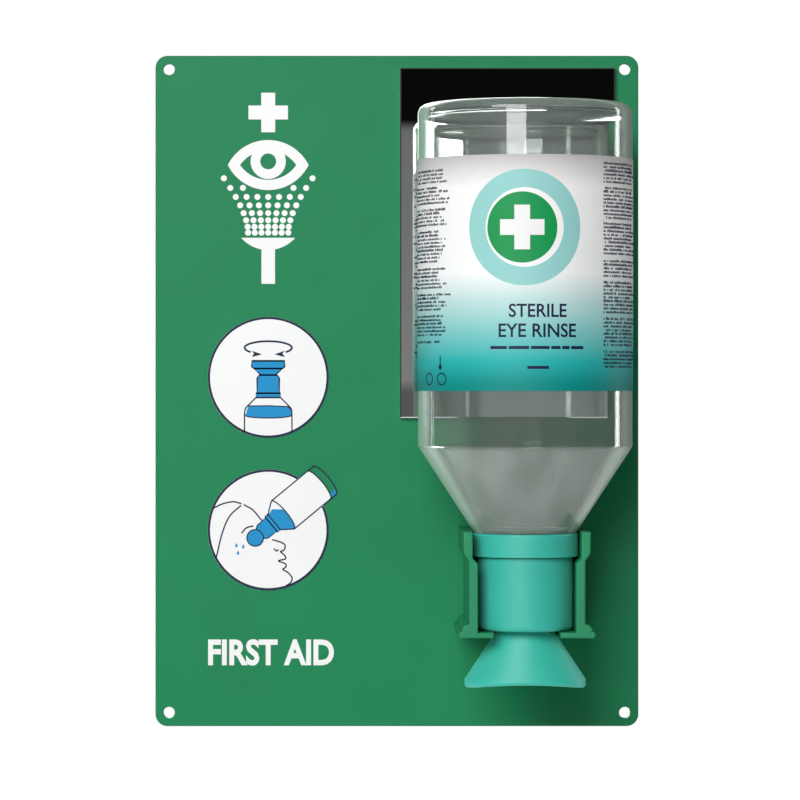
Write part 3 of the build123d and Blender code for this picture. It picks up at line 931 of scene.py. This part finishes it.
def addTwistDrawing():
    # a hand-tight cap above the shoulders of a bottle, with a double turning arrow
    v = stickerValues
    centre = ((twistLow.x + twistHigh.x) / 2, (twistLow.z + twistHigh.z) / 2)
    front = twistLow.y
    line = v["line"]
    rim = np.array([
        (-5.8, 5.8), (5.8, 5.8), (5.8, 3.7), (5.0, 3.1), (-5.0, 3.1), (-5.8, 3.7)]) * mm
    flare = np.array([(-5.0, 3.1), (5.0, 3.1), (2.6, 0.8), (-2.6, 0.8)]) * mm
    body = np.array([
        (-3.1, 0.8), (3.1, 0.8), (3.9, -0.3), (3.9, -5.6), (-3.9, -5.6), (-3.9, -0.3)]) * mm
    flange = np.array([(-4.35, -5.6), (4.35, -5.6), (4.35, -7.1), (-4.35, -7.1)]) * mm
    dip = arcLine(8.1 * mm, 0.9 * mm, 0, -180, 24) + np.array([0, -13.4 * mm])
    liquid = np.concatenate([
        np.array([(-7.0, -10.1), (0, -10.0), (7.0, -10.3), (8.1, -11.4)]) * mm, dip])
    fills = [patch(o) for o in (rim, flare, body, flange, liquid)]
    # a side of the bottle ends where it meets the ring
    sideEnd = -math.sqrt(v["ringRadius"] ** 2 - v["bottleSide"] ** 2)
    shoulder = smoothLine(np.array([(4.3, -7.1), (6.4, -9.2), (8.0, -11.0), (8.35, -12.8)]) * mm)
    shoulder = np.concatenate([shoulder, [(v["bottleSide"], sideEnd)]])
    lines = [ribbon(np.concatenate([o, o[:2]]), line) for o in (rim, flare, body, flange)]
    lines += [ribbon(shoulder, line * 0.8), ribbon(shoulder[::-1] * (-1, 1), line * 0.8)]
    lines.append(ribbon(dip, line * 0.7))
    lines.append(ribbon(liquid[:4], line * 0.7))
    turn = arcLine(8.3 * mm, 2.3 * mm, 222, -42, 60) + np.array([0, 10.4 * mm])
    lines.append(ribbon(turn, line * 1.15))
    for side in (1, -1):
        head = np.array([(2.2, 8.1), (6.0, 9.4), (5.0, 8.4), (5.8, 7.1)]) * mm * (side, 1)
        lines.append(patch(head, out=0.05 * mm))
    outer = v["ringRadius"] + v["ring"] / 2
    inner = v["ringRadius"] - v["ring"] / 2
    lines.append(disc(outer, rings=2, segments=128, out=v["ringDepth"], inner=inner))
    layOnPanel("twist_fill", joined(fills), centre, front, blueInk)
    layOnPanel("twist_lines", joined(lines), centre, front, navyInk)


rinseValues = {
    "eye": (-4.6 * mm, -2.8 * mm),
    "tilt": 39.6,               # of the bottle, in degrees
    "clearFrom": 29.1 * mm,     # the bottle's label ends here, measured from the eye
    "clearTo": 31.8 * mm,
    "bottleHalf": 6.35 * mm,
    "shoulderAt": 12.6 * mm,    # the bottle's shoulder, measured from the eye
    "ringFrom": 60.3,           # the ring is drawn from here to here; the bottle crosses the rest
    "ringTo": 383.2,
    # places of the drops, in millimetres
    "drops": [(-11.2, -5.6), (-8.8, -6.0), (-10.6, -8.2)],
}


def addRinseDrawing():
    # a tilted bottle held to the eye of a plain head that lies back
    sticker, v = stickerValues, rinseValues
    centre = ((rinseLow.x + rinseHigh.x) / 2, (rinseLow.z + rinseHigh.z) / 2)
    front = rinseLow.y
    line = sticker["line"]
    cosine, sine = math.cos(math.radians(v["tilt"])), math.sin(math.radians(v["tilt"]))

    def tilted(path):
        # along and across the bottle, turned about the eye
        path = np.asarray(path, float)
        return np.stack([
            v["eye"][0] + path[:, 0] * cosine - path[:, 1] * sine,
            v["eye"][1] + path[:, 0] * sine + path[:, 1] * cosine,
        ], axis=1)

    half = v["bottleHalf"]
    bow = arcLine(1.6 * mm, half, 90, -90, 24)
    base = bow + np.array([v["clearTo"], 0])
    labelEnd = bow + np.array([v["clearFrom"], 0])
    shoulder = bow + np.array([v["shoulderAt"], 0])
    neck = np.array([(8.4, -3.2), (8.4, 3.2)]) * mm
    paper = tilted(np.concatenate([labelEnd, shoulder[::-1]]))
    cone = tilted(np.concatenate([neck, shoulder]))
    level = tilted(np.concatenate([neck, np.array([(11.0, 4.0)]) * mm, shoulder[10:]]))
    cap = tilted(np.array([
        (1.8, 1.8), (3.4, 2.9), (7.4, 3.1), (7.4, -3.1), (3.4, -2.9), (1.8, -1.8)]) * mm)
    flange = tilted(np.array([(7.4, 3.5), (8.7, 3.5), (8.7, -3.5), (7.4, -3.5)]) * mm)
    cup = tilted(arcLine(2.9 * mm, 2.9 * mm, 0, 360, 33)[:-1])
    foot = tilted(np.concatenate([base[18:], labelEnd[:17:-1]]))
    white = [patch(o, 0.03 * mm, -0.2 * mm) for o in (paper, cone)]
    blue = [patch(level, 0.045 * mm), patch(cap, 0.055 * mm)]
    blue += [patch(flange, 0.06 * mm), patch(cup, 0.11 * mm)]
    blue.append(patch(foot, 0.045 * mm, -0.2 * mm))
    wall = np.array([(v["shoulderAt"], half), (v["clearTo"], half)])
    leftCone = np.concatenate([neck[1:], shoulder[:1]])
    rightCone = np.concatenate([neck[:1], shoulder[-1:]])
    edges = [wall, wall * (1, -1), base, labelEnd, shoulder, leftCone, rightCone]
    outlines = [tilted(edge) for edge in edges]
    outlines += [np.concatenate([o, o[:2]]) for o in (cap, flange)]
    lines = [ribbon(o, line * 0.75, out=0.09 * mm, back=-0.2 * mm) for o in outlines]
    lines.append(ribbon(cup, line * 0.75, True, 0.13 * mm))
    face = [
        [(-19.4, 7.6), (-16.0, 9.2), (-12.2, 9.9), (-9.4, 9.2)],
        [(-8.6, 8.9), (-5.4, 7.0), (-3.0, 4.2), (-1.6, 2.6)],
        [(-9.6, 8.6), (-13.6, 4.8), (-16.2, -1.2), (-18.3, -9.8)],
        [(-9.4, -1.2), (-7.7, 0.7), (-5.2, 1.4)],
        [(1.4, -3.4), (4.6, -4.4), (5.9, -5.4), (5.6, -7.0), (4.2, -7.6)],
        [(4.2, -7.6), (5.8, -9.0), (6.0, -10.2), (3.6, -10.9), (6.0, -11.9), (6.2, -13.0),
         (5.0, -13.9)],
        [(5.0, -13.9), (7.2, -15.2), (8.4, -17.0), (7.8, -18.6), (6.4, -19.6)],
        [(2.0, -6.6), (2.8, -7.4), (3.6, -6.9)],
    ]
    lines += [ribbon(smoothLine(np.array(f) * mm), line * 0.85) for f in face]
    angle = np.radians(np.linspace(v["ringFrom"], v["ringTo"], 120))
    ringPath = sticker["ringRadius"] * np.stack([np.cos(angle), np.sin(angle)], axis=1)
    lines.append(ribbon(ringPath, sticker["ring"]))
    drop = smoothLine(np.array([(0, 0.9), (0.45, -0.1), (0, -0.6), (-0.45, -0.1)]) * mm, 5, True)
    drops = [patch(drop + np.array(place) * mm) for place in v["drops"]]
    layOnPanel("rinse_paper", joined(white), centre, front, whiteVinyl)
    layOnPanel("rinse_fill", joined(blue + drops), centre, front, blueInk)
    layOnPanel("rinse_lines", joined(lines), centre, front, navyInk)


addPanelLettering()
addTwistDrawing()
addRinseDrawing()
print("stage: panel prints")


labelPrintValues = {
    "markArc": -2.7 * mm,
    "markHeight": 54.3 * mm,
    "discRadius": 11.8 * mm,
    "ringInner": 13.2 * mm,
    "ringOuter": 19.3 * mm,
    "ringShift": 0.8 * mm,      # the ring stands this far right of the disc
    "crossArm": 2.6 * mm,       # half the width of an arm
    "crossReach": 7.4 * mm,
    "titleArc": 2.6 * mm,
    "titleBold": 0.014,
    "titleStrip": 1.2 * mm,     # the letters are cut this often so that they bend
    "wordRow": 14.4 * mm,       # the strokes under the title
    "lastRow": 7.8 * mm,
    "strokeHalf": 0.5 * mm,     # half their height
    "lastHalf": 3.6 * mm,       # half the width of the last one
    "signRow": 4.0 * mm,
    "stemArc": -34.2,           # in millimetres, as the stem's points are
    "linePitch": 1.24 * mm,
    "letterPitch": 0.62 * mm,
    "gapShare": 0.14,           # about one letter in seven is left out, as a gap between words
    "tallAbove": 0.7,           # three letters in ten are tall
    "tall": 0.42 * mm,          # half heights
    "short": 0.30 * mm,
    "thinnest": 0.19,           # half widths, in millimetres
    "thickest": 0.27,
    "seed": 11,
}


def greekColumn(random, left, right, high, low):
    # lines of short upright ticks in words that stand for small print, ragged at the right,
    # in paragraphs
    v = labelPrintValues
    places, sizes = [], []
    z, linesLeft = high, random.integers(4, 9)
    while z > low:
        end = left + (right - left) * random.uniform(0.72, 1.0)
        thick = 1.15 if linesLeft % 4 == 0 else 1.0
        count = int((end - left) / v["letterPitch"])
        x = left + v["letterPitch"] * np.arange(count)
        kept = random.random(count) > v["gapShare"]
        tall = random.random(count) > v["tallAbove"]
        up = np.where(tall, v["tall"], v["short"]) * thick
        wide = random.uniform(v["thinnest"], v["thickest"], count) * mm
        places.append(np.stack([x, np.full(count, z) + up - v["short"]], axis=1)[kept])
        sizes.append(np.stack([wide, up], axis=1)[kept])
        z -= v["linePitch"]
        linesLeft -= 1
        if linesLeft == 0:
            linesLeft = random.integers(5, 10)
            z -= v["linePitch"] * random.uniform(0.6, 1.1)
    return np.concatenate(places), np.concatenate(sizes)


def addLabelPrints():
    v = labelPrintValues
    ring = disc(v["ringOuter"], 6, 160, 0.02 * mm, v["ringInner"])
    ring = moved(ring, v["ringShift"], 0)
    mark = disc(v["discRadius"], 12, 96, 0.03 * mm)
    arm, reach = v["crossArm"], v["crossReach"]
    crossPlaces = [(0, 0), (-(reach + arm) / 2, 0), ((reach + arm) / 2, 0)]
    crossSizes = [(arm, reach), ((reach - arm) / 2, arm), ((reach - arm) / 2, arm)]
    cross = bars(crossPlaces, crossSizes, 7, 0.045 * mm)
    where = (v["markArc"], v["markHeight"])
    bendOnLabel("label_ring", moved(ring, *where), paleTealInk)
    bendOnLabel("label_disc", moved(mark, *where), greenInk)
    bendOnLabel("label_cross", moved(cross, *where), whiteInk)
    title = []
    # each line of the title: text, width, height and place up the label, in millimetres
    for text, width, height, up in (("STERILE", 19.5, 4.5, 26.7), ("EYE RINSE", 26.4, 4.6, 20.1)):
        letters = lettering(text, width * mm, height * mm, v["titleBold"], pitch=v["titleStrip"])
        title.append(moved(letters, v["titleArc"], up * mm))
    # plain strokes under it: left end from the title's middle, and width, in millimetres
    words = [(-16, 5.6), (-9.8, 6.8), (-2.4, 6.2), (4.4, 3.2), (8.2, 2.6), (11.4, 4.6)]
    places = [((x + wide / 2) * mm + v["titleArc"], v["wordRow"]) for x, wide in words]
    places.append((v["titleArc"], v["lastRow"]))
    sizes = [(wide / 2 * mm, v["strokeHalf"]) for x, wide in words]
    sizes.append((v["lastHalf"], v["strokeHalf"]))
    title.append(bars(places, sizes))
    random = np.random.default_rng(v["seed"])
    # columns of small print: left, right, highest and lowest line, in millimetres
    columns = [(-56, -28.5, 73.8, 16), (27.6, 56, 76, 8), (60, 108, 76, 8), (-108, -60, 76, 8)]
    columns = [greekColumn(random, *(np.array(column) * mm)) for column in columns]
    smallPrint = bars(*(np.concatenate(part) for part in zip(*columns)), stations=2)
    bendOnLabel("label_small_print", smallPrint, navyInk)
    roundel = ribbon(arcLine(2.3 * mm, 1.9 * mm, 0, 360, 37)[:-1], 0.45 * mm, True)
    title += [moved(roundel, across * mm, v["signRow"]) for across in (-33.5, -41)]
    stem = np.array([(v["stemArc"], 8.0), (v["stemArc"], 11.6)]) * mm
    title.append(ribbon(stem, 0.5 * mm))
    title.append(moved(disc(0.9 * mm, 3, 20), v["stemArc"] * mm, 8.0 * mm))
    bendOnLabel("label_lettering", joined(title), navyInk)


addLabelPrints()
print("stage: label prints")
